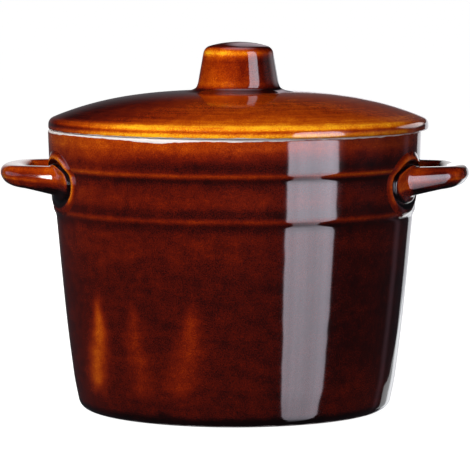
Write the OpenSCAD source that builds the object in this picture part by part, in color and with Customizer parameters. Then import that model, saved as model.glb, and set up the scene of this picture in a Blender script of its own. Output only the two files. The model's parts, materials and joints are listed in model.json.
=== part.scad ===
// Stoneware storage jar: a turned pot with two loop handles, and a loose domed lid with a knob.
// Millimetres, +Z up. The origin is the middle of the foot ring, on the surface that the jar stands on,
// and the handles point along X.

/* [Pot] */
// Outside diameter at the rim
rim_d = 187; // [165:1:215]
// Height from the foot to the top of the rim
pot_h = 140; // [115:1:180]
// Outside diameter of the lower wall where it runs out at the foot
base_d = 155.8; // [135:0.1:170]
// How far the lower wall swells out of a straight line
wall_swell = 0.5; // [0:0.1:2]
// Thickness of the wall at the rim
rim_t = 6.5; // [5:0.1:8]
// Thickness of the wall at the floor
wall_t = 6; // [4.5:0.1:8]
// Thickness of the floor, from the hollow of the foot up
floor_t = 6; // [4:0.5:10]
// Radius of the inside corner between wall and floor
floor_round = 10; // [4:0.5:16]
// Radius of the outside corner between wall and foot
foot_round = 5; // [3:0.5:7]
// Width of the foot ring that the jar stands on
foot_w = 9; // [5:0.5:15]
// Depth of the hollow inside the foot ring
foot_hollow = 1.5; // [0.5:0.1:3]
// Radius of the rim's two edges
rim_round = 1.2; // [0.6:0.1:2.4]

/* [Steps round the wall] */
// From the rim down to the middle of the upper step
upper_step_drop = 18.9; // [15:0.1:22]
// From the rim down to the middle of the lower step
lower_step_drop = 41.2; // [36:0.1:48]
// How far the wall steps in at each step
step_d = 1.35; // [0.5:0.05:2]
// Height of each step's rounded slope
step_h = 4.2; // [3:0.1:6]
// How far the bands above the lower step lean in for each millimetre down
band_lean = 0.032; // [0:0.002:0.06]

/* [Handles] */
// How far each handle stands out past the rim
handle_out = 24; // [20:0.5:32]
// From the rim down to the middle of the root pads
pad_drop = 25.6; // [23:0.1:30]
// From the rim down to the level top of the handles
bar_drop = 17.2; // [15:0.1:22]
// Distance between the middles of a handle's two roots
root_gap = 62; // [52:1:70]
// Angle at which each leg closes in on the other
leg_angle = 20; // [10:1:28]
// Radius of the corner between leg and bow, on the middle of the bar
corner_r = 10; // [8:0.5:13]
// Direction in which the corner runs into the bow
bow_angle = 72; // [66:1:78]
// Thickness of the bar, seen from above
bar_t = 12.5; // [10:0.5:14]
// Height of the bar at its roots
root_h = 14; // [12:0.5:16]
// Height of the bar where the leg runs into the corner
corner_h = 11.3; // [9:0.1:14]
// Height of the bar at its tip
tip_h = 10.3; // [8:0.1:14]
// How square the bar's section is: 2 is an oval, higher is squarer
bar_square = 2.8; // [2:0.1:3.4]
// Share of the bar's thickness by which it is undercut at its lower edge
bar_undercut = 0.3; // [0:0.05:0.5]
// Width of a root pad, along the wall
pad_w = 46; // [43:0.5:50]
// Height of a root pad
pad_h = 32; // [31:0.5:35]
// From the edge of a root pad to the ridge round it
ridge_in = 3; // [2:0.1:3.4]
// How far the ridge stands proud of the wall
pad_proud = 0.9; // [0.7:0.1:1.6]
// From the ridge to the groove inside it
groove_in = 3.6; // [3:0.1:4]
// How far the bottom of the groove stays proud of the wall
groove_proud = 0.3; // [0.2:0.1:0.6]
// How far the shoulder inside the groove stands proud of the wall
shoulder_proud = 2.6; // [2:0.1:3.5]
// From the wall to where the shoulder has run into the bar
flare_l = 4; // [3:0.5:6]

/* [Lid] */
// How far the lid's edge stands out past the rim
lid_overhang = 1.7; // [0.5:0.1:5]
// Height of the lid's edge, where the dome runs out
edge_h = 4.9; // [4:0.1:8]
// How far the dome rises from the edge to its middle
dome_rise = 14.1; // [8:0.1:22]
// How full the dome is: 2 is an even curve, higher is flatter in the middle
dome_fullness = 3; // [2:0.1:4]
// Thickness of the dome
lid_t = 6.5; // [4.5:0.1:8]
// Radius of the lid's upper edge
edge_round = 3.6; // [2:0.1:5]
// Radius of the lid's lower edge
under_round = 1; // [0.5:0.1:3]
// Depth of the locating ring below the rim
ring_h = 8; // [5:0.5:12]
// Thickness of the locating ring
ring_t = 6; // [4:0.5:9]
// Radius of the locating ring's lower edges
ring_round = 1.8; // [0.5:0.1:2]
// Radius of the inside corner between locating ring and dome
hollow_round = 4; // [2:0.1:6]
// Radial play of the locating ring in the mouth
lid_play = 2.3; // [1:0.1:4]
// Gap left at the side towards which the loose lid has slid
lid_rest_gap = 0.4; // [0.3:0.1:1]

/* [Knob] */
// Height of the knob above the lid
knob_h = 24.7; // [18:0.1:32]
// Diameter of the knob's flared foot
knob_foot_d = 50; // [46:0.5:60]
// Diameter of the knob at its upper edge
knob_d = 35.2; // [28:0.2:38]
// Radius of the flare into the foot
knob_flare = 4.9; // [3:0.1:6]
// Thickness of the rim of the flared foot
knob_lip = 0.3; // [0.2:0.1:1]
// Radius of the knob's upper edge
knob_round = 4.6; // [2:0.1:6]
// Slope at which the knob's crown meets its upper edge
crown_slope = 16; // [4:1:24]

/* [Hidden] */
glaze = "saddlebrown";
amber_glaze = "peru";

// How finely curves are drawn
$fn = 120;
arc_steps = 8;
wall_steps = 10;
dome_steps = 20;
handle_sides = 32;
pad_edge_steps = 4;
groove_steps = 4;
flare_steps = 6;
leg_steps = 3;
corner_steps = 6;
bow_steps = 4;

// Pot
rim_r = rim_d / 2;
mouth_r = rim_r - rim_t;
base_r = base_d / 2;
upper_step_z = pot_h - upper_step_drop;
lower_step_z = pot_h - lower_step_drop;
lower_wall_h = lower_step_z - step_h / 2;
lower_wall_r = band_r(lower_wall_h);
foot_lean = (lower_wall_r - base_r + 4 * wall_swell) / lower_wall_h;
floor_z = foot_hollow + floor_t;
floor_r = wall_r(floor_z) - wall_t;
inner_lean = (mouth_r - floor_r) / (pot_h - floor_z);

// Lid, measured up from the rim
lid_r = rim_r + lid_overhang;
ring_r = inner_r(pot_h - ring_h) - lid_play;
ring_in_r = ring_r - ring_t;
lid_shift = lid_play - lid_rest_gap;
knob_foot_r = knob_foot_d / 2;
knob_seat_z = dome_z(knob_foot_r);

// Handles
bar_top_z = pot_h - bar_drop;
pad_z = pot_h - pad_drop;
pad_sink = wall_t / 2;
pad_edge_sink = pad_proud / 4;
seat_r = wall_r(pad_z);
root_y = root_gap / 2;
root_x = sqrt(seat_r ^ 2 - root_y ^ 2);
root_turn = asin(root_y / seat_r);
tip_x = rim_r + handle_out - bar_t / 2;
// The leg's length and the bow's radius bring the middle line to the tip, square to X
reach_x = tip_x - root_x - corner_r * (sin(bow_angle) - sin(leg_angle));
reach_y = root_y - corner_r * (cos(leg_angle) - cos(bow_angle));
bow_share = 1 - sin(bow_angle);
closing = cos(leg_angle) * cos(bow_angle) - bow_share * sin(leg_angle);
leg_l = (reach_x * cos(bow_angle) - bow_share * reach_y) / closing;
bow_r = (cos(leg_angle) * reach_y - sin(leg_angle) * reach_x) / closing;
leg_end = leg_at(leg_l);
corner_end = turned(leg_end, corner_r, bow_angle);

function mix(a, b, share) = a + (b - a) * share;
function eased(share) = (1 - cos(180 * share)) / 2;
function arc(centre, radius, from, to) = [
    for (i = [0 : arc_steps])
        let (a = mix(from, to, i / arc_steps))
        centre + radius * [cos(a), sin(a)]
];
// Middle of a round that is tangent to the level z and to a wall that starts at r there and leans out
function corner_centre(r, z, lean, radius) = [r + radius * (lean - sqrt(1 + lean ^ 2)), z + radius];

// Outside of the pot: the radius at a height
function step_share(z, middle) =
    let (down = (middle + step_h / 2 - z) / step_h)
    eased(max(0, min(1, down)));
function band_r(z) =
    rim_r - band_lean * (pot_h - z)
    - step_d * (step_share(z, upper_step_z) + step_share(z, lower_step_z));
function lower_r(z) =
    let (share = z / lower_wall_h)
    mix(base_r, lower_wall_r, share) + 4 * wall_swell * share * (1 - share);
function wall_r(z) = z < lower_wall_h ? lower_r(z) : band_r(z);
function wall_points(from, to) = [
    for (i = [0 : wall_steps])
        let (z = mix(from, to, i / wall_steps))
        [wall_r(z), z]
];
function step_points(middle) = wall_points(middle - step_h / 2, middle + step_h / 2);
function outside_points() = concat(
    arc(corner_centre(base_r, 0, foot_lean, foot_round), foot_round, -90, -atan(foot_lean)),
    wall_points(foot_round, lower_wall_h - step_h / 4),
    step_points(lower_step_z),
    step_points(upper_step_z),
    arc([band_r(pot_h - rim_round) - rim_round, pot_h - rim_round], rim_round, 0, 90)
);

// Inside of the pot
function inner_r(z) = floor_r + inner_lean * (z - floor_z);
function inside_points() = concat(
    arc([inner_r(pot_h - rim_round) + rim_round, pot_h - rim_round], rim_round, 90, 180),
    arc(corner_centre(floor_r, floor_z, inner_lean, floor_round), floor_round, -atan(inner_lean), -90)
);

// Top of the lid's dome, and the angle at which it falls
function dome_z(r) = edge_h + dome_rise * (1 - pow(r / lid_r, dome_fullness));
function dome_fall(r) = atan(dome_rise * dome_fullness / lid_r * pow(r / lid_r, dome_fullness - 1));

// Middle line of a handle, from its front root to its tip: [x, y, heading]
function leg_at(s) = [root_x + s * cos(leg_angle), s * sin(leg_angle) - root_y, leg_angle];
function turned(from, radius, heading) = [
    from.x + radius * (sin(heading) - sin(from.z)),
    from.y + radius * (cos(from.z) - cos(heading)),
    heading
];
function rounded(v) = sign(v) * pow(abs(v), 2 / bar_square);
function bar_ring(at, height) = [
    for (k = [0 : handle_sides - 1])
        let (
            a = 360 * k / handle_sides,
            up = rounded(sin(a)),
            out = bar_t / 2 * rounded(cos(a)) * (1 - bar_undercut * max(0, -up))
        )
        [at.x + out * sin(at.z), at.y - out * cos(at.z), bar_top_z - height / 2 * (1 - up)]
];
// The leg's section cut parallel to the wall, at a distance from it along the leg
function leg_ring(out) = [
    for (p = bar_ring(leg_at(0), root_h))
        let (
            along = p.x * cos(leg_angle) + p.y * sin(leg_angle),
            ahead = out - along + sqrt(along ^ 2 - p.x ^ 2 - p.y ^ 2 + wall_r(p.z) ^ 2)
        )
        p + ahead * [cos(leg_angle), sin(leg_angle), 0]
];
// The pad's outline on the wall, as [along, up] from the middle of a root
function pad_outline(inset) = [
    for (k = [0 : handle_sides - 1])
        let (a = 360 * k / handle_sides)
        [(pad_w / 2 - inset) * cos(a), (pad_h / 2 - inset) * sin(a)]
];
function wall_ring(outline, proud) = [
    for (c = outline)
        let (z = pad_z + c.y, r = wall_r(z) + proud, turn = root_turn + c.x / seat_r * 180 / PI)
        [r * cos(turn), -r * sin(turn), z]
];
// The pad rises from the wall to the ridge, falls into the groove and runs over a shoulder into the bar
function edge_ring(share) =
    wall_ring(pad_outline(ridge_in * share), mix(-pad_edge_sink, pad_proud, eased(share)));
function groove_ring(share) =
    wall_ring(pad_outline(ridge_in + groove_in * share), mix(pad_proud, groove_proud, eased(share)));
function flare_ring(share) =
    (1 - share) ^ 3 * groove_ring(1)
    + 3 * share * (1 - share) ^ 2 * wall_ring(pad_outline(ridge_in + groove_in), shoulder_proud)
    + 3 * share ^ 2 * (1 - share) * leg_ring(pad_proud)
    + share ^ 3 * leg_ring(flare_l);
function half_rings() = concat(
    [wall_ring(pad_outline(0), -pad_sink)],
    [for (i = [0 : pad_edge_steps]) edge_ring(i / pad_edge_steps)],
    [for (i = [1 : groove_steps]) groove_ring(i / groove_steps)],
    [for (i = [1 : flare_steps]) flare_ring(i / flare_steps)],
    [for (i = [1 : leg_steps]) mix(leg_ring(flare_l), bar_ring(leg_end, corner_h), i / leg_steps)],
    [
        for (i = [1 : corner_steps])
            let (share = i / corner_steps)
            bar_ring(
                turned(leg_end, corner_r, mix(leg_angle, bow_angle, share)),
                mix(corner_h, tip_h, share)
            )
    ],
    [
        for (i = [1 : bow_steps])
            bar_ring(turned(corner_end, bow_r, mix(bow_angle, 90, i / bow_steps)), tip_h)
    ]
);

// Solid through a list of rings, with a fan closing each end
module loft(rings) {
    sides = len(rings[0]);
    count = len(rings);
    ends = [for (ring = [rings[0], rings[count - 1]]) [for (p = ring) 1] * ring / sides];
    points = concat([for (ring = rings) each ring], ends);
    skin = [
        for (i = [0 : count - 2], k = [0 : sides - 1])
            let (a = i * sides + k, b = i * sides + (k + 1) % sides)
            each [[a, b, a + sides], [b, b + sides, a + sides]]
    ];
    last = (count - 1) * sides;
    caps = [
        for (k = [0 : sides - 1])
            let (next = (k + 1) % sides)
            each [[count * sides, next, k], [count * sides + 1, last + k, last + next]]
    ];
    polyhedron(points, concat(skin, caps));
}

// The whole outside of the pot as a solid
module pot_outside() {
    rotate_extrude()
        polygon(concat([[0, 0]], outside_points(), [[0, pot_h]]));
}

// Loop handle towards +X, seated on the wall
module handle() {
    half = half_rings();
    last = len(half) - 1;
    back = [for (i = [last - 1 : -1 : 0]) [for (p = half[i]) [p.x, -p.y, p.z]]];
    difference() {
        loft(concat(half, back));
        pot_outside();
    }
}

// Turned pot with its floor, foot ring, steps and rim
module pot_body() {
    foot_in = outside_points()[0].x - foot_w;
    color(glaze)
        rotate_extrude()
            polygon(concat(
                [[0, foot_hollow], [foot_in - foot_hollow, foot_hollow], [foot_in, 0]],
                outside_points(),
                inside_points(),
                [[0, floor_z]]
            ));
}

module left_handle() {
    color(amber_glaze)
        mirror([1, 0, 0])
            handle();
}

module right_handle() {
    color(amber_glaze)
        handle();
}

// Domed lid, slid towards +X in its play, with the locating ring under it
module lid() {
    edge_fall = dome_fall(lid_r - edge_round / 2);
    edge_start = lid_r - edge_round * (1 - sin(edge_fall));
    edge_centre = [lid_r - edge_round, dome_z(edge_start) - edge_round * cos(edge_fall)];
    lower_round = min(under_round, edge_centre.y);
    hollow_fall = dome_fall(ring_in_r);
    hollow_start = ring_in_r - hollow_round * (1 - sin(hollow_fall));
    hollow_centre = [
        ring_in_r - hollow_round,
        dome_z(hollow_start) - lid_t - hollow_round * cos(hollow_fall)
    ];
    color(glaze)
        translate([lid_shift, 0, pot_h])
            rotate_extrude()
                polygon(concat(
                    [[0, knob_seat_z]],
                    [
                        for (i = [0 : dome_steps - 1])
                            let (r = mix(knob_foot_r, edge_start, i / dome_steps))
                            [r, dome_z(r)]
                    ],
                    arc(edge_centre, edge_round, 90 - edge_fall, 0),
                    arc([lid_r - lower_round, lower_round], lower_round, 0, -90),
                    [[ring_r, 0]],
                    arc([ring_r - ring_round, ring_round - ring_h], ring_round, 0, -90),
                    arc([ring_in_r + ring_round, ring_round - ring_h], ring_round, -90, -180),
                    arc(hollow_centre, hollow_round, 0, 90 - hollow_fall),
                    [
                        for (i = [1 : dome_steps])
                            let (r = mix(hollow_start, 0, i / dome_steps))
                            [r, dome_z(r) - lid_t]
                    ]
                ));
}

// Knob with a flared foot, tapering sides and a slightly crowned top
module lid_knob() {
    flare_centre = [knob_foot_r, knob_flare + knob_lip];
    side_foot_r = knob_foot_r - knob_flare;
    taper = atan((side_foot_r - knob_d / 2) / (knob_h - knob_flare - knob_round));
    crown_r = knob_d / 2 - knob_round * (cos(taper) - sin(crown_slope));
    crown_curve = crown_r / sin(crown_slope);
    edge_centre = [
        knob_d / 2 - knob_round * cos(taper),
        knob_h - crown_curve * (1 - cos(crown_slope)) - knob_round * cos(crown_slope)
    ];
    color(amber_glaze)
        translate([lid_shift, 0, pot_h + knob_seat_z])
            rotate_extrude()
                polygon(concat(
                    [[0, 0], [knob_foot_r, 0]],
                    arc(flare_centre, knob_flare, 270, 180 + taper),
                    arc(edge_centre, knob_round, taper, 90 - crown_slope),
                    arc([0, knob_h - crown_curve], crown_curve, 90 - crown_slope, 90)
                ));
}

pot_body();
left_handle();
right_handle();
lid();
lid_knob();
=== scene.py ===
"""Brown-glazed stoneware jar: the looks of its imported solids, as an add-on that also runs as a script."""
import json
import math

import bpy
import numpy as np
from bpy.props import FloatProperty, FloatVectorProperty, IntProperty, PointerProperty
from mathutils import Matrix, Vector

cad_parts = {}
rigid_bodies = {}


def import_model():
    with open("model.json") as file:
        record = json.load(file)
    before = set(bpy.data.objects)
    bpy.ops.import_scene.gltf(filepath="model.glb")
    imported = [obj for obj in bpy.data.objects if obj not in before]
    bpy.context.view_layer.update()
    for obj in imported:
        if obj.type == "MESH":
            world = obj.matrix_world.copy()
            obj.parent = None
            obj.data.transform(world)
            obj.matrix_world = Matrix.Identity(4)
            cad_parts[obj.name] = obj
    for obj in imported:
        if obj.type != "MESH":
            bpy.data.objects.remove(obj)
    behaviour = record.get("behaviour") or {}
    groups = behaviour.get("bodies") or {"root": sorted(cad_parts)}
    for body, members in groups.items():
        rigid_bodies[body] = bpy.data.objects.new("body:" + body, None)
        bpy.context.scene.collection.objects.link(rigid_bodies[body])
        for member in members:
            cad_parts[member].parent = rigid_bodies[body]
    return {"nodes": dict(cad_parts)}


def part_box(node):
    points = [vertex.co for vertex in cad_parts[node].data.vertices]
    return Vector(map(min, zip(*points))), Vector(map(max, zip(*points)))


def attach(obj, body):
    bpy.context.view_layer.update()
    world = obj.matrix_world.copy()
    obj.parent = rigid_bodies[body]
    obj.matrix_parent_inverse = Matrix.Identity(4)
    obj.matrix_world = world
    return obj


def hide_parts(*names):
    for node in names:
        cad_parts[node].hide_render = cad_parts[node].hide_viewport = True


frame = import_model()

bl_info = {
    "name": "Stoneware storage jar",
    "version": (1, 0, 0),
    "blender": (4, 5, 0),
    "location": "View3D > Sidebar > Jar",
    "description": "Builds the glazed looks of a stoneware jar round its packed solids",
    "category": "Object",
}

MM = 0.001
NO_CLAY = -9.0  # reach of the bare clay, in millimetres, where a piece has none


def linear(code):
    """Linear colour, with alpha, of an sRGB hex code."""
    parts = [int(code[i : i + 2], 16) / 255 for i in (1, 3, 5)]
    return [p / 12.92 if p <= 0.04045 else ((p + 0.055) / 1.055) ** 2.4 for p in parts] + [1.0]


def colour(name, description, code):
    """Property for a colour, from its sRGB hex code."""
    return FloatVectorProperty(
        name=name, description=description, subtype="COLOR", size=4, min=0, max=1, default=linear(code)
    )


def length(name, description, millimetres):
    """Property for a length."""
    return FloatProperty(
        name=name, description=description, subtype="DISTANCE", unit="LENGTH", precision=5,
        default=millimetres * MM,
    )


class JarGlaze(bpy.types.PropertyGroup):
    """Colours of the glaze from thin to thick, of the bare clay, and the sizes of their patterns."""

    thin: colour("Thinnest", "Glaze that has run off an edge", "#FFBA20")
    amber: colour("Amber", "Thin glaze", "#E27A10")
    orange: colour("Orange", "Glaze near an edge", "#B84A06")
    rust: colour("Rust", "Glaze of middling thickness", "#932E05")
    brown: colour("Brown", "Glaze on an open face", "#6B1806")
    deep: colour("Deep", "Thick glaze", "#4A0E06")
    dark: colour("Dark", "Very thick glaze", "#2E0806")
    # The darkest colour, also used for the painted shade in the handles' root grooves and under their shoulders
    pooled_and_shaded: colour("Pooled", "Glaze that has run into a corner", "#100404")
    clay: colour("Bare clay", "Stoneware where the glaze was wiped off", "#EBE5E6")
    sand: colour("Sand", "Darker sand in the bare clay", "#BDA88F")
    roughness: FloatProperty(
        name="Roughness", description="Roughness of the glaze", default=0.06, min=0, max=1
    )
    mottle: length("Mottle", "Size of the cloudy patches in the glaze", 6)
    speckle: length("Speckle", "Size of the iron specks in the glaze", 0.5)
    ripple: length("Ripple", "Size of the slow waves in the glaze's surface", 14)
    ring: length("Rings", "Spacing of the rings that the wheel left on the lid", 1.6)
    ring_drift: length("Ring drift", "How far along a ring its glaze stays the same", 60)
    ragged: length("Ragged edge", "Size of the bays in the edge of the bare clay", 7)
    grit: length("Grit", "Size of the sand in the bare clay", 0.6)


class JarSizes(bpy.types.PropertyGroup):
    """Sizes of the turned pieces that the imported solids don't give."""

    segments: IntProperty(name="Segments", description="Faces round a turned piece", default=288, min=48)
    bare_rim: length("Bare rim", "How far the bare clay runs down from the top of the rim", 1.3)
    bare_foot: length("Bare foot", "How far the bare clay runs up from the foot", 0.8)
    bare_edge: length("Bare lid edge", "How far the bare clay runs up from the lid's seat", 0.5)
    upper_step: length("Upper step", "From the rim down to the middle of the upper step", 18.9)
    lower_step: length("Lower step", "From the rim down to the middle of the lower step", 41.2)
    belly: length("Belly", "How far the thrown wall swells over the foot", 0.8)
    knob_skirt: length("Knob skirt", "Radius to which the knob's foot is smoothed out over the lid", 28)
    knob_sweep: length("Knob sweep", "Height over the lid at which the knob's foot starts to flare", 2.2)


class HandleSizes(bpy.types.PropertyGroup):
    """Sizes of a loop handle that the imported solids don't give."""

    sides: IntProperty(name="Sides", description="Faces round the bar", default=96, min=16)
    root_gap: length("Root gap", "Distance between the middles of the two roots", 62)
    leg_angle: FloatProperty(
        name="Leg angle", description="Angle at which the legs close in", subtype="ANGLE",
        default=math.radians(20),
    )
    corner_r: length("Corner", "Radius of the corner between leg and bow", 10)
    bow_angle: FloatProperty(
        name="Bow angle", description="Direction in which the corner ends", subtype="ANGLE",
        default=math.radians(72),
    )
    bar_drop: length("Bar drop", "From the rim down to the level top of the bar", 17.2)
    bar_t: length("Bar thickness", "Thickness of the bar, seen from above", 12.5)
    root_h: length("Root height", "Height of the bar at its roots", 14)
    corner_h: length("Corner height", "Height of the bar where the leg runs into the corner", 11.3)
    tip_h: length("Tip height", "Height of the bar at its tip", 10.3)
    square: FloatProperty(name="Squareness", description="2 is oval, higher is squarer", default=2.8)
    undercut: FloatProperty(name="Undercut", description="Share by which the bar narrows below", default=0.3)
    pad_drop: length("Pad drop", "From the rim down to the middle of the root pads", 25.6)
    pad_w: length("Pad width", "Width of a root pad along the wall", 49)
    pad_h: length("Pad height", "Height of a root pad", 35)
    ridge_in: length("Ridge place", "From the edge of a root pad to the ridge round it", 4.5)
    pad_proud: length("Ridge", "How far the ridge round a root pad stands proud of the wall", 0.9)
    groove_in: length("Groove place", "From the ridge to the groove inside it", 3.6)
    groove_proud: length("Groove", "How far the bottom of the groove stays proud of the wall", 0.3)
    shoulder: length("Shoulder", "How far the shoulder inside the groove stands proud of the wall", 2.6)
    flare: length("Flare", "From the wall to where the shoulder has run into the bar", 4)


class JarStage(bpy.types.PropertyGroup):
    """Camera and lights."""

    distance: length("Distance", "From the camera to the jar's axis", 1500)
    elevation: FloatProperty(
        name="Elevation", description="Height of the camera over the horizon", subtype="ANGLE",
        default=math.radians(5.21),
    )
    aim_z: length("Aim", "Height that the camera looks at", 86.3)
    aim_x: length("Sideways", "How far the camera stands to the right of the jar's axis", 0.2)
    lens: FloatProperty(name="Lens", description="Focal length in millimetres", default=228.3)
    turn: FloatProperty(
        name="Turn", description="How far the camera stands round to the right", subtype="ANGLE",
        default=math.radians(1.8),
    )
    key: FloatProperty(name="Key", description="Power of the main soft light in watts", default=24)
    fill: FloatProperty(name="Fill", description="Power of the soft light in front in watts", default=8)
    strip: FloatProperty(name="Strip", description="Radiance of the tall strip light", default=6.5)
    rim: FloatProperty(name="Rim", description="Radiance of the pale sheet behind the jar", default=1.0)
    surround: FloatProperty(name="Surround", description="Radiance of the dim room", default=0.03)


def add(tree, kind, inputs=None, **settings):
    """Adds a shader node with its settings. inputs maps a socket's name or number to a value, to an output,
    or to a node whose first output is meant."""
    made = tree.nodes.new("ShaderNode" + kind)
    for name, value in settings.items():
        setattr(made, name, value)
    for name, value in (inputs or {}).items():
        if isinstance(value, bpy.types.Node):
            value = value.outputs[0]
        if isinstance(value, bpy.types.NodeSocket):
            tree.links.new(value, made.inputs[name])
        else:
            made.inputs[name].default_value = value
    return made


def shader_tree(owner):
    """The emptied node tree of a material, a world or a light."""
    owner.use_nodes = True
    owner.node_tree.nodes.clear()
    return owner.node_tree


def glaze_material(name, run, streak, wave=0.07, gloss=1.0):
    """Iron glaze that a stoneware piece was dipped in and that ran in the kiln. To the eye it is wet and
    deep: amber where it is thin over an edge, nearly black where it has pooled, cloudy and specked between
    them. Where it was wiped off, the clay is pale, dry and gritty.

    The mesh gives the glaze's depth, 0 thin and 1 pooled, into which shade and highlights are painted in
    places, and how far a point lies inside the bare clay in millimetres. run is the size of a run along X, Y
    and Z in millimetres, or None for a turned lid's rings.
    streak is how strongly the runs show, wave is the height of the slow waves in millimetres, and gloss
    scales the roughness."""
    glaze = bpy.context.scene.jar_glaze
    mottled, specked = 0.3, 0.5  # how far the patches and the specks shift the glaze's depth
    strays, blends = 1.4, 0.15  # how far the edge of the bare clay strays and blends, in millimetres
    sandy, dry = 0.35, 0.7  # most sand in the clay's colour, and the clay's roughness
    speck_rough = 0.03  # how much rougher the specks are
    ring_height, grit_height = 0.05, 0.12  # relief of the lid's rings and of the clay's grit in millimetres
    made = bpy.data.materials.new(name)
    tree = shader_tree(made)
    place = add(tree, "TexCoord").outputs["Object"]

    # Runs of the glaze, or the rings of a turned lid
    if run is None:
        flat = add(tree, "VectorMath", {0: place, 1: (1, 1, 0)}, operation="MULTIPLY")
        radius = add(tree, "VectorMath", {0: flat}, operation="LENGTH").outputs["Value"]
        rings = add(tree, "Math", {0: radius, 1: 1 / glaze.ring}, operation="MULTIPLY")
        drift = add(tree, "VectorMath", {0: flat, 1: (1 / glaze.ring_drift,) * 3}, operation="MULTIPLY")
        stack = add(tree, "CombineXYZ", {"Z": rings})
        lie = add(tree, "VectorMath", {0: drift, 1: stack}, operation="ADD")
        broken = 0.6  # how much the rings, or below the runs, break up
    else:
        size = tuple(1 / (r * MM) for r in run)
        lie = add(tree, "VectorMath", {0: place, 1: size}, operation="MULTIPLY")
        broken = 0.55
    runs = add(tree, "TexNoise", {"Vector": lie, "Scale": 1, "Detail": 3, "Roughness": broken})

    # Patches and specks; real iron specks are finer, and are drawn this coarse so that they show
    mottle = add(
        tree, "TexNoise", {"Vector": place, "Scale": 1 / glaze.mottle, "Detail": 5, "Roughness": 0.6}
    )
    speckle = add(
        tree, "TexNoise", {"Vector": place, "Scale": 1 / glaze.speckle, "Detail": 1, "Roughness": 0.6}
    )
    depth = add(tree, "Attribute", attribute_name="glaze_depth_and_painted_light").outputs["Fac"]
    for pattern, strength in ((runs, streak), (mottle, mottled), (speckle, specked)):
        off = add(tree, "Math", {0: pattern, 1: 0.5}, operation="SUBTRACT")
        depth = add(tree, "Math", {0: off, 1: strength, 2: depth}, operation="MULTIPLY_ADD")
    ramp = add(tree, "ValToRGB", {0: depth})
    stops = (
        (0.0, glaze.thin), (0.14, glaze.amber), (0.28, glaze.orange), (0.42, glaze.rust),
        (0.58, glaze.brown), (0.72, glaze.deep), (0.86, glaze.dark), (1.0, glaze.pooled_and_shaded),
    )
    while len(ramp.color_ramp.elements) < len(stops):
        ramp.color_ramp.elements.new(1)
    for element, (where, tint) in zip(ramp.color_ramp.elements, stops):
        element.position = where
        element.color = tint

    # Bare clay with a ragged edge
    reach = add(tree, "Attribute", attribute_name="bare_mm").outputs["Fac"]
    ragged = add(
        tree, "TexNoise", {"Vector": place, "Scale": 1 / glaze.ragged, "Detail": 4, "Roughness": 0.6}
    )
    off = add(tree, "Math", {0: ragged, 1: 0.5}, operation="SUBTRACT")
    reach = add(tree, "Math", {0: off, 1: strays, 2: reach}, operation="MULTIPLY_ADD")
    bare = add(tree, "MapRange", {0: reach, 1: -blends, 2: blends}, interpolation_type="SMOOTHSTEP")
    grit = add(tree, "TexNoise", {"Vector": place, "Scale": 1 / glaze.grit, "Detail": 3, "Roughness": 0.7})
    share = add(tree, "Math", {0: grit, 1: sandy}, operation="MULTIPLY")
    clay = add(tree, "Mix", {0: share, 6: glaze.clay, 7: glaze.sand}, data_type="RGBA").outputs[2]
    skin = add(tree, "Mix", {0: bare, 6: ramp, 7: clay}, data_type="RGBA").outputs[2]

    # Gloss and relief
    smooth = (glaze.roughness - speck_rough / 2) * gloss
    glossy = add(tree, "Math", {0: speckle, 1: speck_rough * gloss, 2: smooth}, operation="MULTIPLY_ADD")
    rough = add(tree, "Mix", {0: bare, 2: glossy, 3: dry})
    ripple = add(
        tree, "TexNoise", {"Vector": place, "Scale": 1 / glaze.ripple, "Detail": 1, "Roughness": 0.4}
    )
    relief = add(tree, "Math", {0: ripple, 1: wave}, operation="MULTIPLY")
    if run is None:
        relief = add(tree, "Math", {0: runs, 1: ring_height, 2: relief}, operation="MULTIPLY_ADD")
    gritty = add(tree, "Math", {0: grit, 1: bare}, operation="MULTIPLY")
    relief = add(tree, "Math", {0: gritty, 1: grit_height, 2: relief}, operation="MULTIPLY_ADD")
    bump = add(tree, "Bump", {"Strength": 1.0, "Distance": MM, "Height": relief})
    surface = add(
        tree, "BsdfPrincipled", {"Base Color": skin, "Roughness": rough, "Normal": bump, "IOR": 1.52}
    )
    add(tree, "OutputMaterial", {0: surface})
    return made


def seam_outline(node, axis_x):
    """Outline of a turned CAD solid as (radius, height) points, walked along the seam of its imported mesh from
    its lower end to its upper end."""
    near = 1e-6  # metres
    ob = frame["nodes"][node]
    mesh = ob.data
    spots = np.array([ob.matrix_world @ v.co for v in mesh.vertices])
    spots[:, 0] -= axis_x
    on_seam = (np.abs(spots[:, 1]) < near) & (spots[:, 0] > -near)
    links = {}
    for edge in mesh.edges:
        if all(on_seam[v] for v in edge.vertices):
            a, b = (tuple(np.round(spots[v][[0, 2]], 6)) for v in edge.vertices)
            if a != b:
                links.setdefault(a, set()).add(b)
                links.setdefault(b, set()).add(a)
    ends = [p for p, others in links.items() if len(others) == 1]
    if len(ends) != 2:
        raise RuntimeError(f"{node} has {len(ends)} seam ends, not 2")
    start, stop = sorted(ends, key=lambda p: p[1])
    walk = [start]
    came = None
    while walk[-1] != stop:
        ahead = [p for p in links[walk[-1]] if p != came]
        came = walk[-1]
        walk.append(ahead[0])
    points = np.array(walk)
    whole = [points]
    if points[0, 0] > 10 * near:
        whole.insert(0, [[0, points[0, 1]]])
    if points[-1, 0] > 10 * near:
        whole.append([[0, points[-1, 1]]])
    return np.vstack(whole)


def lip_of(outline):
    """Number of the outline's point on the top of the pot's lip, a little to its outside."""
    return np.argmax(outline[:, 1] + 0.2 * outline[:, 0])


def arc_length(points):
    """Distance of each point along the line through them."""
    return np.concatenate([[0], np.cumsum(np.linalg.norm(np.diff(points, axis=0), axis=1))])


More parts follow.
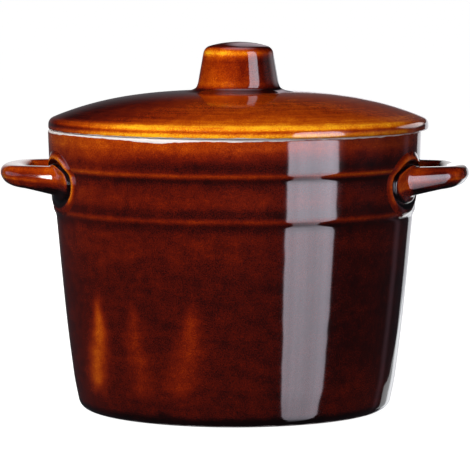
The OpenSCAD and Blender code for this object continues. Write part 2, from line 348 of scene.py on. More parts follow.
def blurred(points, sigma, step):
    """Points at even steps, each averaged with its neighbours over sigma; the ends stay."""
    reach = int(4 * sigma / step)
    weights = np.exp(-0.5 * (np.arange(-reach, reach + 1) * step / sigma) ** 2)
    weights /= weights.sum()
    first = 2 * points[0] - points[reach:0:-1]
    last = 2 * points[-1] - points[-2 : -reach - 2 : -1]
    padded = np.vstack([first, points, last])
    out = np.column_stack([np.convolve(padded[:, k], weights, mode="valid") for k in range(points.shape[1])])
    out[0], out[-1] = points[0], points[-1]
    return out


def fine_outline(points):
    """The outline with its corners softened as a glaze softens them and its long curves made even."""
    step = 0.1 * MM
    corner, curve = 0.4 * MM, 3.5 * MM  # how far a corner and a long curve are averaged
    same, differ = 0.05 * MM, 0.17 * MM  # the two lines lie this far apart along a curve, and at a corner
    around, ease = 2.5 * MM, 1.2 * MM  # how far a corner holds on each side, and over what it eases off
    turn_per_face = 0.12  # radians
    steady = 0.5 * MM  # how far the bend is averaged
    finest, coarsest = 0.3 * MM, 2.2 * MM  # least and greatest length of a face
    along = arc_length(points)
    at = np.linspace(0, along[-1], int(along[-1] / step) + 1)
    dense = np.column_stack([np.interp(at, along, points[:, k]) for k in (0, 1)])
    tight = blurred(dense, corner, step)
    slow = blurred(dense, curve, step)
    apart = np.linalg.norm(tight - slow, axis=1)[:, None]
    share = np.clip((apart - same) / (differ - same), 0, 1)
    reach = int(around / step)
    share = np.array([share[max(0, i - reach) : i + reach + 1].max(0) for i in range(len(share))])
    share = blurred(share, ease, step)
    smooth = slow + (tight - slow) * share
    smooth[:, 0] = np.maximum(smooth[:, 0], 0)

    # Points are close where the line bends and far apart where it is straight
    heading = np.unwrap(np.arctan2(*np.gradient(smooth, axis=0).T[::-1]))
    bend = np.abs(blurred(np.gradient(heading)[:, None] / step, steady, step)[:, 0])
    gap = np.clip(turn_per_face / np.maximum(bend, 1), finest, coarsest)
    count = np.concatenate([[0], np.cumsum(step / gap[1:])])
    chosen = np.interp(np.linspace(0, count[-1], int(count[-1]) + 1), count, at)
    return np.column_stack([np.interp(chosen, at, smooth[:, k]) for k in (0, 1)])


def finish_piece(name, spots, faces, values, material, node):
    """Makes a piece in place of a CAD node, with its glaze values at each point."""
    mesh = bpy.data.meshes.new(name)
    mesh.from_pydata(spots.tolist(), [], faces)
    for label, data in values.items():
        mesh.attributes.new(label, "FLOAT", "POINT").data.foreach_set("value", data.astype(np.float32))
    mesh.shade_smooth()
    mesh.materials.append(material)
    ob = bpy.data.objects.new(name, mesh)
    bpy.context.collection.objects.link(ob)
    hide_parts(node)
    return ob


def turn(name, outline, axis_x, glaze_of, material, body, node):
    """Turns an outline about an upright axis. glaze_of gives the glaze's depth, with painted shade and
    reflections in places, and the bare clay's reach at each point from its radius, height and place along the
    outline in millimetres and its azimuth in degrees, which is 0 at the front and grows to the right."""
    segments = bpy.context.scene.jar_sizes.segments
    if np.sum(outline[:-1, 0] * np.diff(outline[:, 1])) < 0:
        outline = outline[::-1]
    rings = outline[1:-1]
    count = len(rings)
    azimuth = np.arange(segments) * 2 * np.pi / segments
    out = np.column_stack([np.sin(azimuth), -np.cos(azimuth)])
    around = (rings[:, None, :1] * out[None]).reshape(-1, 2)
    spots = np.column_stack([around, np.repeat(rings[:, 1], segments)])
    spots = np.vstack([spots, [0, 0, outline[0, 1]], [0, 0, outline[-1, 1]]])
    faces = []
    for i in range(count - 1):
        for k in range(segments):
            a, b = i * segments + k, i * segments + (k + 1) % segments
            faces.append((a, b, b + segments, a + segments))
    foot, top = count * segments, count * segments + 1
    last = (count - 1) * segments
    for k in range(segments):
        after = (k + 1) % segments
        faces.append((foot, after, k))
        faces.append((top, last + k, last + after))
    depth, bare = glaze_of(
        np.repeat(rings[:, 0], segments) / MM,
        np.repeat(rings[:, 1], segments) / MM,
        np.repeat(arc_length(outline)[1:-1], segments) / MM,
        np.tile((np.degrees(azimuth) + 180) % 360 - 180, count),
    )
    values = {
        "glaze_depth_and_painted_light": np.append(depth, [depth[0], depth[-1]]),
        "bare_mm": np.append(bare, [bare[0], bare[-1]]),
    }
    ob = finish_piece(name, spots, faces, values, material, node)
    ob.location.x = axis_x
    bpy.context.view_layer.update()
    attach(ob, body)
    return ob


def hump(value, middle, width):
    """1 at middle, falling off over width."""
    return np.exp(-0.5 * ((value - middle) / width) ** 2)


def rise(value, start, end):
    """0 before start, 1 past end, smooth between them; end may also be the lower one."""
    share = np.clip((value - start) / (end - start), 0, 1)
    return share * share * (3 - 2 * share)


def side(azimuth, start, end):
    """rise over azimuths in degrees that falls off again towards the back, so that no seam shows there."""
    return rise(azimuth, start, end) * rise(np.abs(azimuth), 180, 120)


def shares(count):
    """Equal shares up to 1, without 0."""
    return np.arange(1, count + 1) / count


class JAR_OT_pot(bpy.types.Operator):
    """Turns the pot, with its foot, steps and bare rim"""

    bl_idname = "jar.pot"
    bl_label = "Pot"

    def execute(self, context):
        sizes = context.scene.jar_sizes
        outline = fine_outline(seam_outline("pot_body", 0))
        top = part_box("pot_body")[1].z / MM
        upper, lower = top - sizes.upper_step / MM, top - sizes.lower_step / MM
        lip = lip_of(outline)
        peak = arc_length(outline)[lip] / MM

        # The thrown wall swells over the foot, and the underside stays as it is
        outside = outline[:lip]
        swell = rise(outside[:, 1] / MM, 0, 17) * rise(outside[:, 1] / MM, 100, 30)
        on_wall = (outside[:, 0] > 60 * MM) & (arc_length(outside) > 20 * MM)
        outside[:, 0] += sizes.belly * swell * on_wall

        # Middle height and half width in millimetres, and how the glaze's depth changes there
        bands = (
            (upper + 1.0, 0.85, -0.34),  # thin over the edge of the upper step
            (lower + 1.5, 0.9, -0.21),  # thin over the edge of the lower step
            (upper - 1.5, 1.0, 0.1),  # pooled glaze and painted shade under the overhang of the upper step
            (lower - 1.8, 1.6, 0.1),  # pooled glaze and painted shade under the overhang of the lower step
            (upper + 5.2, 1.4, 0.06),  # dark line over the upper step
            (lower + 5.0, 1.8, 0.12),  # dark line over the lower step
            ((upper + lower) / 2 + 0.3, 4.5, -0.14),  # redder between the steps
            (lower - 10, 8, -0.08),  # redder under the steps
        )
        # Azimuth at the foot and at the tip and half width in degrees, and how much thinner the glaze is
        flames = ((-55, -49.5, 3.9, 0.44), (-31, -33.5, 3.4, 0.19), (-18, -12.5, 3.8, 0.22))
        open_wall, inner_wall = 0.78, 0.6  # the glaze's depth there
        inner_rim = 3  # how far the bare clay runs down inside, in millimetres

        def glaze_of(radius, z, along, azimuth):
            inside = along > peak
            # The glaze is thicker to the right of the middle and thinner towards both sides
            depth = open_wall + 0.09 * side(azimuth, 5, 28) - 0.05 * side(azimuth, 35, 60)
            depth -= 0.06 * side(azimuth, -25, -55)
            depth -= 0.12 * side(azimuth, 25, 40) * rise(z, 40, 12)
            depth -= 0.15 * side(azimuth, -20, -45) * hump(z, upper + 6, 3.5)
            # It thins towards the rim, and lies in bands along the steps, which are thinnest at the right
            depth -= 0.33 * np.clip((z - upper - 6) / 7, 0, 1) + 0.06 * rise(z, top - 6, top - 5)
            for middle, width, change in bands:
                depth += change * hump(z, middle, width)
            edges = 0.22 * hump(z, upper + 1.0, 1.0) + 0.12 * hump(z, lower + 1.5, 1.0)
            depth -= edges * side(azimuth, 22, 35)
            # Flames lean, and run out to a tip
            for at_foot, at_tip, width, thinner in flames:
                middle = at_foot + (at_tip - at_foot) * rise(z, 10, 50)
                flame = hump(azimuth, middle, width * (0.4 + 0.6 * rise(z, 60, 32)))
                depth -= thinner * flame * rise(z, 9, 20) * rise(z, 66, 50)
            # It has pooled over the foot, higher up in two places
            pool = 4.6 + 2 * hump(azimuth, -23.5, 2.2) + 1.2 * hump(azimuth, -37, 2)
            depth += 0.24 * rise(z - pool, 1.8, -1.6) - 0.1 * rise(z, 2, 1)
            depth = np.where(inside, inner_wall, depth)
            # The wiped rim is widest left of the middle and narrower towards both sides; its narrowing at the
            # right paints the shade that the lid's overhang casts on it
            dip = 1.0 * hump(azimuth, -21.5, 5) + 0.5 * hump(azimuth, -85, 25)
            dip -= 0.65 * side(azimuth, -28, -55) + 0.5 * side(azimuth, 5, 25)
            rim = z - (top - sizes.bare_rim / MM) + dip
            rim = np.where(inside, z - (top - inner_rim), rim)
            foot = sizes.bare_foot / MM - z
            return depth, np.maximum(rim, foot)

        # Dipped glaze on a thrown wall: long level clouds of red and black under a wet gloss
        material = glaze_material("iron_glaze_dipped_on_thrown_stoneware", (22, 22, 5), 0.2)
        turn("pot_glazed", outline, 0, glaze_of, material, "pot", "pot_body")
        return {"FINISHED"}


class JAR_OT_handles(bpy.types.Operator):
    """Pulls the two loop handles and smooths their root pads onto the wall"""

    bl_idname = "jar.handles"
    bl_label = "Handles"

    def execute(self, context):
        h = context.scene.jar_handles
        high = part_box("right_handle")[1]
        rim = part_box("pot_body")[1]
        # The outer wall, without the underside
        wall = seam_outline("pot_body", 0)
        outer = wall[: lip_of(wall) + 1]
        outer = outer[outer[:, 0] > rim.x * 0.8]
        pad_z = rim.z - h.pad_drop
        bar_top = rim.z - h.bar_drop

        def wall_r(z):
            """Radius of the wall at a height."""
            return np.interp(z, outer[:, 1], outer[:, 0])

        seat_r = wall_r(pad_z)
        root_y = h.root_gap / 2
        root_x = math.sqrt(seat_r**2 - root_y**2)
        root_turn = math.asin(root_y / seat_r)

        # Length of the straight leg and radius of the bow that bring the bar to its tip
        tip_x = high.x - h.bar_t / 2
        leg, bow = h.leg_angle, h.bow_angle
        reach_x = tip_x - root_x - h.corner_r * (math.sin(bow) - math.sin(leg))
        reach_y = root_y - h.corner_r * (math.cos(leg) - math.cos(bow))
        share = 1 - math.sin(bow)
        closing = math.cos(leg) * math.cos(bow) - share * math.sin(leg)
        leg_l = (reach_x * math.cos(bow) - share * reach_y) / closing
        bow_r = (math.cos(leg) * reach_y - math.sin(leg) * reach_x) / closing

        # Squarish section of the bar, drawn in towards its lower face
        angle = np.arange(h.sides) * 2 * np.pi / h.sides
        power = 2 / h.square
        upward = np.sign(np.sin(angle)) * np.abs(np.sin(angle)) ** power
        across = np.sign(np.cos(angle)) * np.abs(np.cos(angle)) ** power
        across *= 1 - h.undercut * np.clip(-upward, 0, 1)

        def bar_ring(x, y, heading, height):
            """Section of the bar at a point of its path."""
            out = h.bar_t / 2 * across
            z = bar_top - height / 2 * (1 - upward)
            return np.column_stack([x + out * math.sin(heading), y - out * math.cos(heading), z])

        def leg_at(s):
            """Place and heading of the path, s along the front leg."""
            return root_x + s * math.cos(leg), s * math.sin(leg) - root_y, leg

        def turned(start, radius, heading):
            """Place and heading of the path once it has turned to a heading."""
            x, y, before = start
            x += radius * (math.sin(heading) - math.sin(before))
            y += radius * (math.cos(before) - math.cos(heading))
            return x, y, heading

        def on_wall(spot, proud):
            """Points of a pad that stand proud of the wall, from their places along it and up it."""
            z = pad_z + spot[:, 1]
            r = wall_r(z) + proud
            t = root_turn + spot[:, 0] / seat_r
            return np.column_stack([r * np.cos(t), -r * np.sin(t), z])

        def pad_outline(inset):
            """Oval of a root pad, drawn in all round."""
            half_w, half_h = h.pad_w / 2 - inset, h.pad_h / 2 - inset
            return np.column_stack([half_w * np.cos(angle), half_h * np.sin(angle)])

        run_in = np.array([math.cos(leg), math.sin(leg), 0])
        straight = bar_ring(*leg_at(0), h.root_h)
        ahead = straight @ run_in
        to_wall = np.sqrt(ahead**2 - (straight[:, :2] ** 2).sum(1) + wall_r(straight[:, 2]) ** 2) - ahead

        def leg_ring(out):
            """Section of the leg that follows the wall's curve, out from the wall along the leg."""
            return straight + (out + to_wall)[:, None] * run_in

        rings, depth_and_painted_light, thicker = [], [], []

        def put(ring, depth, right=0.0):
            """Adds a ring with the glaze's depth and painted light on it, and what is added to that on the
            right handle.
            """
            rings.append(ring)
            depth_and_painted_light.append(depth + np.zeros(h.sides))
            thicker.append(right + np.zeros(h.sides))

        # Glaze round the bar: thin on its two upper edges and along a line on its outer side, and painted
        # darker below, as shade on the undersides of the bar, its shoulder and the ridge
        degrees = (np.degrees(angle) + 90) % 360 - 90
        below = -np.sin(angle)
        open_face = 0.6 + 0.36 * rise(below, 0.42, 0.85)
        open_face -= 0.16 * hump(degrees, 42, 16) + 0.16 * hump(degrees, 130, 16)
        open_face -= 0.26 * hump(degrees, -4, 3.5)
        # The shoulder is painted darker below as shade under the root, and lighter on its upper side, partly as
        # a painted highlight
        shoulder = 0.4 + 0.26 * rise(below, -0.05, 0.2) + 0.38 * rise(below, 0.25, 0.55)
        shoulder -= 0.06 * hump(degrees, 50, 25)
        ridge = 0.14 + 0.5 * rise(below, 0.5, 0.85)
        tip = 0.22 * hump(degrees, 5, 20)
        corner_thin = 0.08  # how much thinner it is past the corner
        hidden, beside, pooled_and_shaded = 0.7, 0.62, 1.12  # its depth inside the wall, beside the ridge, and in the groove, where it also paints the groove's shade
        right_ridge, right_bar, right_tip = 0.16, 0.22, 0.3  # how much thicker it is on the right handle

        # Root pad, from its edge inside the wall over the ridge and down into the groove
        put(on_wall(pad_outline(-1 * MM), -3 * MM), hidden)
        edge_sink = h.pad_proud / 4
        for t in np.linspace(0, 1, 11):
            lift = (1 - math.cos(math.pi * t)) / 2
            ring = on_wall(pad_outline(h.ridge_in * t), lift * (h.pad_proud + edge_sink) - edge_sink)
            near = rise(t, 0.4, 1.0)
            put(ring, beside + (ridge - beside) * near, right_ridge * near)
        for t in shares(10):
            fall = (1 - math.cos(math.pi * t)) / 2
            spot = pad_outline(h.ridge_in + h.groove_in * t)
            ring = on_wall(spot, h.pad_proud + (h.groove_proud - h.pad_proud) * fall)
            put(ring, ridge + (pooled_and_shaded - ridge) * rise(t, 0.08, 0.45), right_ridge)

        # Shoulder, swept from the groove into the leg
        groove = pad_outline(h.ridge_in + h.groove_in)
        for t in shares(16):
            ring = (1 - t) ** 3 * on_wall(groove, h.groove_proud)
            ring += 3 * t * (1 - t) ** 2 * on_wall(groove, h.shoulder)
            ring += 3 * t**2 * (1 - t) * leg_ring(h.pad_proud) + t**3 * leg_ring(h.flare)
            depth = pooled_and_shaded + (shoulder - pooled_and_shaded) * rise(t, 0.08, 0.3)
            # A lighter, golden line along the shoulder's upper side: a painted highlight
            depth -= 0.14 * hump(t, 0.32, 0.09) * rise(below, 0.3, -0.2)
            put(ring, depth, 0.12 - 0.46 * rise(below, -0.2, 0.3) * rise(t, 0.1, 0.4))

        # Leg, corner and bow, up to the tip of the loop
        bend = leg_at(leg_l)
        for t in shares(8):
            ring = leg_ring(h.flare) * (1 - t) + bar_ring(*bend, h.corner_h) * t
            put(ring, shoulder + (open_face - shoulder) * rise(t, 0.1, 0.8), right_bar * t)
        for t in shares(16):
            height = h.corner_h + (h.tip_h - h.corner_h) * t
            ring = bar_ring(*turned(bend, h.corner_r, leg + (bow - leg) * t), height)
            thin = corner_thin * rise(t, 0, 0.3)
            worn = 0.42 * hump(degrees, 10, 16) * hump(t, 0.45, 0.2)
            put(ring, open_face - thin - tip * rise(t, 0.5, 1.0), right_bar + thin - worn)
        bend = turned(bend, h.corner_r, bow)
        for t in shares(8):
            ring = bar_ring(*turned(bend, bow_r, bow + (math.pi / 2 - bow) * t), h.tip_h)
            put(ring, open_face - corner_thin - tip * rise(t, 0.8, 0), right_tip)

        # The back half mirrors the front half
        front = np.array(rings)
        whole = np.concatenate([front, (front[:-1] * [1, -1, 1])[::-1]])
        depth = np.concatenate([depth_and_painted_light, depth_and_painted_light[-2::-1]]).ravel()
        more = np.concatenate([thicker, thicker[-2::-1]]).ravel()
        count = len(whole)
        faces = []
        for i in range(count - 1):
            for k in range(h.sides):
                a, b = i * h.sides + k, i * h.sides + (k + 1) % h.sides
                faces.append((a, a + h.sides, b + h.sides, b))
        faces.append(tuple(range(h.sides)))
        faces.append(tuple(range(count * h.sides - 1, (count - 1) * h.sides - 1, -1)))

        # Dipped glaze on a pulled bar: smoother than on the wall, with short clouds and sharp highlights
        material = glaze_material("iron_glaze_dipped_on_pulled_handles", (9, 9, 9), 0.25, wave=0, gloss=0.5)
        hands = (("right_handle_glazed", "right_handle", 1), ("left_handle_glazed", "left_handle", -1))
        for name, node, hand in hands:
            spots = whole.reshape(-1, 3) * [hand, 1, 1]
            these = faces if hand > 0 else [f[::-1] for f in faces]
            values = {"glaze_depth_and_painted_light": depth + more * (hand > 0), "bare_mm": np.full(len(depth), NO_CLAY)}
            ob = finish_piece(name, spots, these, values, material, node)
            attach(ob, "pot")
        return {"FINISHED"}


class JAR_OT_lid(bpy.types.Operator):
    """Turns the domed lid, with its bare seat and locating ring"""

    bl_idname = "jar.lid"
    bl_label = "Lid"

    def execute(self, context):
        sizes = context.scene.jar_sizes
        low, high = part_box("lid")
        axis_x = (low.x + high.x) / 2
        outline = fine_outline(seam_outline("lid", axis_x))
        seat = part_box("pot_body")[1].z / MM
        edge_r = (high.y - low.y) / 2 / MM

        def glaze_of(radius, z, along, azimuth):
            # The dome is dark at the left, darker round the knob as a painted reflection of the knob's dark
            # foot, and lighter towards its edge
            left = side(azimuth, 0, -80)
            depth = 0.37 + 0.45 * left + 0.1 * rise(radius, 30, 25)
            depth -= 0.1 * (1 - left) * rise(radius, edge_r - 12, edge_r - 7)
            # The glaze has run off the rounded edge, least at the left, and left a line round it
            band = 0.07 + 0.48 * side(azimuth, -25, -80)
            band += 0.07 * side(azimuth, 15, 45) + 0.2 * side(azimuth, 50, 75)
            depth += (band - depth) * rise(radius, edge_r - 5, edge_r - 2.2)
            depth += 0.27 * hump(z, seat + 3.1, 0.55) * rise(radius, edge_r - 2, edge_r - 0.5)
            depth -= 0.1 * left * hump(z, seat + 1.2, 0.5)
            bare = sizes.bare_edge / MM - (z - seat) - 0.6 * side(azimuth, 5, 25)
            return depth, bare

        # Dipped glaze on a turned dome: fine rings that break up its reflections, golden at the edge
        material = glaze_material("iron_glaze_dipped_on_turned_lid", None, 0.3)
        turn("lid_glazed", outline, axis_x, glaze_of, material, "lid", "lid")
        return {"FINISHED"}


class JAR_OT_knob(bpy.types.Operator):
    """Turns the knob, with its flared foot and crowned top"""

    bl_idname = "jar.knob"
    bl_label = "Knob"

    def execute(self, context):
        sizes = context.scene.jar_sizes
        low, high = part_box("lid")
        axis_x = (low.x + high.x) / 2
        foot, top = (p.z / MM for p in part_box("lid_knob"))

        # The foot sweeps out from the stem and runs out level with the dome
        sunk = 0.4 * MM  # how deep its underside lies in the lid
        knob = seam_outline("lid_knob", axis_x)
        lid = seam_outline("lid", axis_x)
        dome = lid[np.argmax(lid[:, 0]) :][::-1]
        stem = knob[knob[:, 1] > foot * MM + sizes.knob_sweep]
        angle = np.linspace(0, math.pi / 2, 25)[:-1]
        skirt_r = sizes.knob_skirt - (sizes.knob_skirt - stem[0, 0]) * np.sin(angle)
        skirt_z = np.interp(skirt_r, dome[:, 0], dome[:, 1])
        skirt_z += (stem[0, 1] - foot * MM) * (1 - np.cos(angle))
        hidden = skirt_z[0] - sunk
        under = [[0, hidden], [sizes.knob_skirt, hidden]]
        outline = fine_outline(np.vstack([under, np.column_stack([skirt_r, skirt_z]), stem]))

        def glaze_of(radius, z, along, azimuth):
            depth = np.full_like(z, 0.42)
            depth += 0.34 * rise(z, foot + 2.8, foot + 0.8)  # pooled round the foot
            depth -= 0.12 * hump(z, foot + 4.2, 1.0)  # thin over the foot
            depth += 0.09 * hump(z, top - 8.5, 1.5)  # darker under the upper edge
            depth -= 0.38 * hump(z, top - 5.6, 1.4)  # run off the upper edge
            depth += 0.3 * rise(radius, 16.5, 14.5) * rise(z, top - 4.6, top - 3)  # thick on the crown
            depth += 0.11 * side(azimuth, -25, 10) + 0.22 * side(azimuth, 15, 55)  # darker at the right: painted shade on the side turned from the key light
            return depth, np.full_like(z, NO_CLAY)

        # Dipped glaze on a turned knob: upright runs, golden at the upper edge and dark round the foot
        material = glaze_material("iron_glaze_dipped_on_turned_knob", (6, 6, 12), 0.25)
        turn("knob_glazed", outline, axis_x, glaze_of, material, "lid", "lid_knob")
        return {"FINISHED"}


def strip_shape(tree, off):
    """Shape and glow of the tall strip light, from places on its sheet that run from -1 to 1. It narrows and
    swings to the right towards its lower end, has squared ends and faint upright streaks, and dims
    downwards."""
    apart = add(tree, "SeparateXYZ", {0: off})
    across, up = apart.outputs["X"], apart.outputs["Y"]
    low = add(tree, "MapRange", {0: up, 1: 0.53, 2: -0.7}, interpolation_type="SMOOTHSTEP")
    tail = add(tree, "MapRange", {0: up, 1: 0.15, 2: -0.7}, interpolation_type="SMOOTHSTEP")
    narrow = add(tree, "Math", {0: low, 1: 0.5, 2: 1.0}, operation="MULTIPLY_ADD")
    narrow = add(tree, "Math", {0: tail, 1: 0.7, 2: narrow}, operation="MULTIPLY_ADD")
    swung = add(tree, "Math", {0: tail, 1: -0.4, 2: across}, operation="MULTIPLY_ADD")
    across = add(tree, "Math", {0: swung, 1: narrow}, operation="MULTIPLY")
    shape = add(tree, "CombineXYZ", {"X": across, "Y": up})
    shape = add(tree, "VectorMath", {0: shape, 1: shape}, operation="MULTIPLY")
    streaks = add(tree, "VectorMath", {0: off, 1: (2.5, 0.4, 0)}, operation="MULTIPLY")
    streaks = add(tree, "TexNoise", {"Vector": streaks, "Scale": 1, "Detail": 2})
    streaks = add(tree, "Math", {0: streaks, 1: 0.6, 2: 0.68}, operation="MULTIPLY_ADD")
    glow = add(tree, "MapRange", {0: up, 1: 0.62, 2: 0.38, 3: 1.0, 4: 0.78})
    glow = add(tree, "Math", {0: low, 1: -0.7, 2: glow}, operation="MULTIPLY_ADD")
    glow = add(tree, "Math", {0: glow, 1: streaks}, operation="MULTIPLY")
    return shape, glow


class JAR_OT_stage(bpy.types.Operator):
    """Puts the floor, the lights and the camera round the jar"""

    bl_idname = "jar.stage"
    bl_label = "Stage"

    def execute(self, context):
        scene = context.scene
        s = scene.jar_stage
        self.floor(scene)
        self.room(scene, s)
        self.lights(scene, s)
        self.camera(scene, s)
        scene.view_settings.view_transform = "Standard"
        return {"FINISHED"}

    def floor(self, scene):
        """A white floor that is seen, but neither mirrored in the jar nor lighting it."""
        reach = 40  # metres
        corners = [(-reach, -reach, 0), (reach, -reach, 0), (reach, reach, 0), (-reach, reach, 0)]
        mesh = bpy.data.meshes.new("floor")
        mesh.from_pydata(corners, [], [(0, 1, 2, 3)])
        floor = bpy.data.objects.new("floor", mesh)
        scene.collection.objects.link(floor)
        # Matt white paper that glows white by its own emission, its glow painted a breath darker close round
        # the jar, where the jar's real shadow also falls
        paper = bpy.data.materials.new("matt_white_paper_sweep")
        tree = shader_tree(paper)
        place = add(tree, "TexCoord").outputs["Object"]
        away = add(tree, "VectorMath", {0: place}, operation="LENGTH").outputs["Value"]
        glow = add(tree, "MapRange", {0: away, 1: 0.1, 2: 0.4, 3: 0.98, 4: 1.0})
        grey, white = linear("#898989"), linear("#FFFFFF")
        lit = add(
            tree, "BsdfPrincipled",
            {"Base Color": grey, "Roughness": 0.9, "Emission Color": white, "Emission Strength": glow},
        )
        add(tree, "OutputMaterial", {0: lit})
        mesh.materials.append(paper)
        floor.visible_glossy = False
        floor.visible_diffuse = False
        floor.visible_shadow = False

    def room(self, scene, s):
        """A room that is white to the camera and dim, bluish and darker above to the glaze."""
        world = bpy.data.worlds.new("studio")
        scene.world = world
        tree = shader_tree(world)
        seen = add(tree, "LightPath").outputs["Is Camera Ray"]
        up = add(tree, "SeparateXYZ", {0: add(tree, "TexCoord").outputs["Generated"]}).outputs["Z"]
        level = add(tree, "MapRange", {0: up, 1: -0.05, 2: 0.15, 3: s.surround, 4: s.surround / 5})
        dim = add(tree, "VectorMath", {0: (0.85, 0.9, 1.1), "Scale": level}, operation="SCALE")
        shade = add(tree, "Mix", {0: seen, 6: dim, 7: linear("#FFFFFF")}, data_type="RGBA").outputs[2]
        add(tree, "OutputWorld", {0: add(tree, "Background", {0: shade})})

    def lights(self, scene, s):
        """Soft sheets of light, each either on the jar or mirrored in it."""
        middle = Vector((0, 0, 0.1))
        groups = {part: bpy.data.collections.new(part) for part in ("handle", "lid", "knob")}
        for ob in scene.objects:
            for part, group in groups.items():
                if ob.name.endswith(part + "_glazed"):
                    group.objects.link(ob)

        def sheet(
            name, azimuth, away, z, size, radiance, tint,
            fade=None, lean=0, strip=False, lights=False, aimed=False, only=None,
        ):
            """A soft sheet that faces the jar, from its azimuth in degrees and its distance, height and size
            in metres. With a fade it is an oval, or the strip, that dims over that share towards its edge. It
            either lights the jar or is only mirrored in the glaze, of one kind of piece or of all."""
            lamp = bpy.data.lights.new(name, "AREA")
            lamp.shape = "RECTANGLE"
            lamp.size, lamp.size_y = size
            lamp.energy = radiance * math.pi * size[0] * size[1]
            lamp.color = tint
            if fade is not None:
                tree = shader_tree(lamp)
                spot = add(tree, "NewGeometry").outputs["Parametric"]
                double, less_one = (2, 2, 0), (-1, -1, 0)
                off = add(tree, "VectorMath", {0: spot, 1: double, 2: less_one}, operation="MULTIPLY_ADD")
                glow = 1.0
                if strip:
                    off, glow = strip_shape(tree, off)
                far = add(tree, "VectorMath", {0: off}, operation="LENGTH").outputs["Value"]
                edge = add(tree, "MapRange", {0: far, 1: 1, 2: 1 - fade}, interpolation_type="SMOOTHSTEP")
                glow = add(tree, "Math", {0: edge, 1: glow}, operation="MULTIPLY")
                add(tree, "OutputLight", {0: add(tree, "Emission", {"Strength": glow})})
            ob = bpy.data.objects.new(name, lamp)
            turn_to = math.radians(azimuth) + s.turn
            ob.location = (away * math.sin(turn_to), -away * math.cos(turn_to), z)
            ob.rotation_euler = (math.pi / 2, -math.radians(lean), turn_to)
            if lights or aimed:
                aim = middle - ob.location
                ob.rotation_euler = aim.to_track_quat("-Z", "Y").to_euler()
            ob.visible_camera = False
            ob.visible_diffuse = lights
            ob.visible_glossy = not lights
            if only:
                ob.light_linking.receiver_collection = groups[only]
            scene.collection.objects.link(ob)

        key_size, fill_size = (0.9, 0.7), (1.4, 0.8)
        key = s.key / (math.pi * key_size[0] * key_size[1])
        fill = s.fill / (math.pi * fill_size[0] * fill_size[1])
        warm, lilac, rosy = (1, 0.98, 0.97), (1, 0.935, 1.08), (1, 0.92, 0.97)

        # Soft light on the jar from the upper left, from in front and from behind
        sheet("key_light", -27, 1.2, 0.95, key_size, key, (1, 0.98, 0.95), lights=True)
        sheet("fill_light", 15, 1.5, 0.1, fill_size, fill, warm, lights=True)
        sheet("back_light", 180, 1.3, 0.1, fill_size, 3 * fill, warm, lights=True)

        # Tall strip mirrored in the wall, the haze round its upper end, and its image in the knob
        sheet("strip_light", 49.7, 1.0, -0.625, (0.63, 2.15), s.strip, lilac, fade=0.16, lean=4.1, strip=True)
        sheet("strip_glow", 55, 0.98, 0.2, (0.55, 0.9), s.strip * 0.23, lilac, fade=1)
        sheet("knob_strip", 48, 1.0, 0.75, (0.54, 0.8), s.strip * 0.88, (0.88, 0.94, 1.05), only="knob")

        # Pale edge at the right of the wall, its cut lower end, and faint hazes round it
        sheet("right_sheet", 164.3, 1.4, -0.15, (0.68, 0.8), s.rim, (0.95, 0.96, 1.0))
        sheet("right_low", 149.8, 1.4, -0.374, (0.3, 0.6), 0.75, (0.95, 0.98, 1.0), lean=-68)
        sheet("right_wall", 128, 1.4, -0.1, (0.32, 1.6), 0.14, (1, 0.55, 0.7), fade=1)
        sheet("right_haze", 85, 1.4, 0.2, (1.5, 0.7), 0.1, (0.85, 0.85, 1.1), fade=1)
        sheet("back_wall", 180, 2.0, 0.2, (3.6, 1.3), 0.1, (1, 0.9, 0.95), fade=1)

        # Sheen on the knob's crown, foot and right side, and on the lid's dome and right edge
        sheet("crown_sheet", 175.5, 2.0, 1.22, (0.62, 1.95), 0.85, (1, 0.82, 0.9), fade=0.5, only="knob")
        sheet("lid_sheet", 162, 2.0, 0.8, (1.4, 1.1), 0.05, rosy, fade=1, only="lid")
        sheet("knob_sky", 180, 0.2, 2.2, (2.8, 2.8), 2.4, (1, 0.86, 1.0), fade=1, aimed=True, only="knob")
        sheet("knob_side", 130, 1.4, 0.2, (1.5, 1.0), 1.0, rosy, fade=1, only="knob")
        sheet("knob_haze", 98, 1.4, 0.2, (1.3, 1.2), 0.3, (0.9, 0.9, 1), fade=1, only="knob")
        sheet("lid_edge", 130, 1.4, 0.43, (1.25, 0.65), 2.4, (1, 0.88, 0.86), fade=0.4, only="lid")

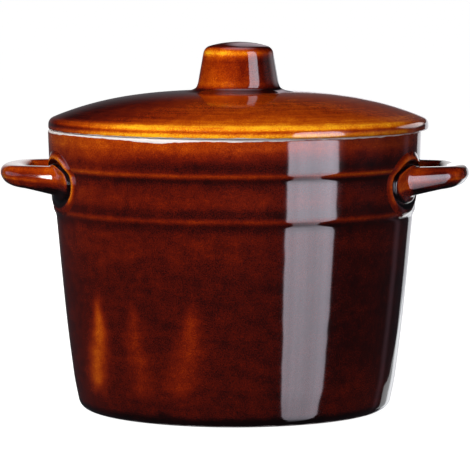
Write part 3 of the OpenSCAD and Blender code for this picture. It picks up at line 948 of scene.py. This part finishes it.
        # White tips of the loops, and the long and the short highlight on the left handle
        sheet("tip_sheet", 180, 1.6, 0.35, (1.6, 1.3), 1.0, (1, 1, 1), fade=0.8, only="handle")
        sheet("left_band", -88, 1.2, 0.24, (2.3, 0.5), 1.0, (0.85, 0.88, 1.15), fade=0.4, only="handle")
        sheet("left_box", -47.5, 1.19, 0.26, (0.06, 0.42), 30, (1, 0.98, 0.96), only="handle")

    def camera(self, scene, s):
        """The camera that took the photo, as fitted to the jar's outline."""
        lens = bpy.data.cameras.new("camera")
        lens.lens = s.lens
        lens.sensor_width = 36  # millimetres
        lens.clip_end = 200  # metres, past the far end of the floor
        camera = bpy.data.objects.new("camera", lens)
        level = s.distance * math.cos(s.elevation)
        aim = Vector((s.aim_x * math.cos(s.turn), s.aim_x * math.sin(s.turn), s.aim_z))
        camera.location = aim + Vector(
            (level * math.sin(s.turn), -level * math.cos(s.turn), s.distance * math.sin(s.elevation))
        )
        camera.rotation_euler = (aim - camera.location).to_track_quat("-Z", "Y").to_euler()
        scene.collection.objects.link(camera)
        scene.camera = camera


class JAR_PT_panel(bpy.types.Panel):
    """Lists the jar's operators and its sizes, colours and lights"""

    bl_idname = "JAR_PT_panel"
    bl_label = "Stoneware jar"
    bl_space_type = "VIEW_3D"
    bl_region_type = "UI"
    bl_category = "Jar"

    def draw(self, context):
        for operator in OPERATORS:
            self.layout.operator(operator.bl_idname)
        for name, group in GROUPS.items():
            box = self.layout.box()
            for value in group.__annotations__:
                box.prop(getattr(context.scene, name), value)


GROUPS = {"jar_glaze": JarGlaze, "jar_sizes": JarSizes, "jar_handles": HandleSizes, "jar_stage": JarStage}
OPERATORS = (JAR_OT_pot, JAR_OT_handles, JAR_OT_lid, JAR_OT_knob, JAR_OT_stage)
CLASSES = (*GROUPS.values(), *OPERATORS, JAR_PT_panel)


def register():
    for made in CLASSES:
        bpy.utils.register_class(made)
    for name, group in GROUPS.items():
        setattr(bpy.types.Scene, name, PointerProperty(type=group))


def unregister():
    for name in GROUPS:
        delattr(bpy.types.Scene, name)
    for made in reversed(CLASSES):
        bpy.utils.unregister_class(made)


def main():
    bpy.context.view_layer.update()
    register()
    bpy.ops.jar.pot()
    bpy.ops.jar.handles()
    bpy.ops.jar.lid()
    bpy.ops.jar.knob()
    bpy.ops.jar.stage()


if __name__ == "__main__":
    main()
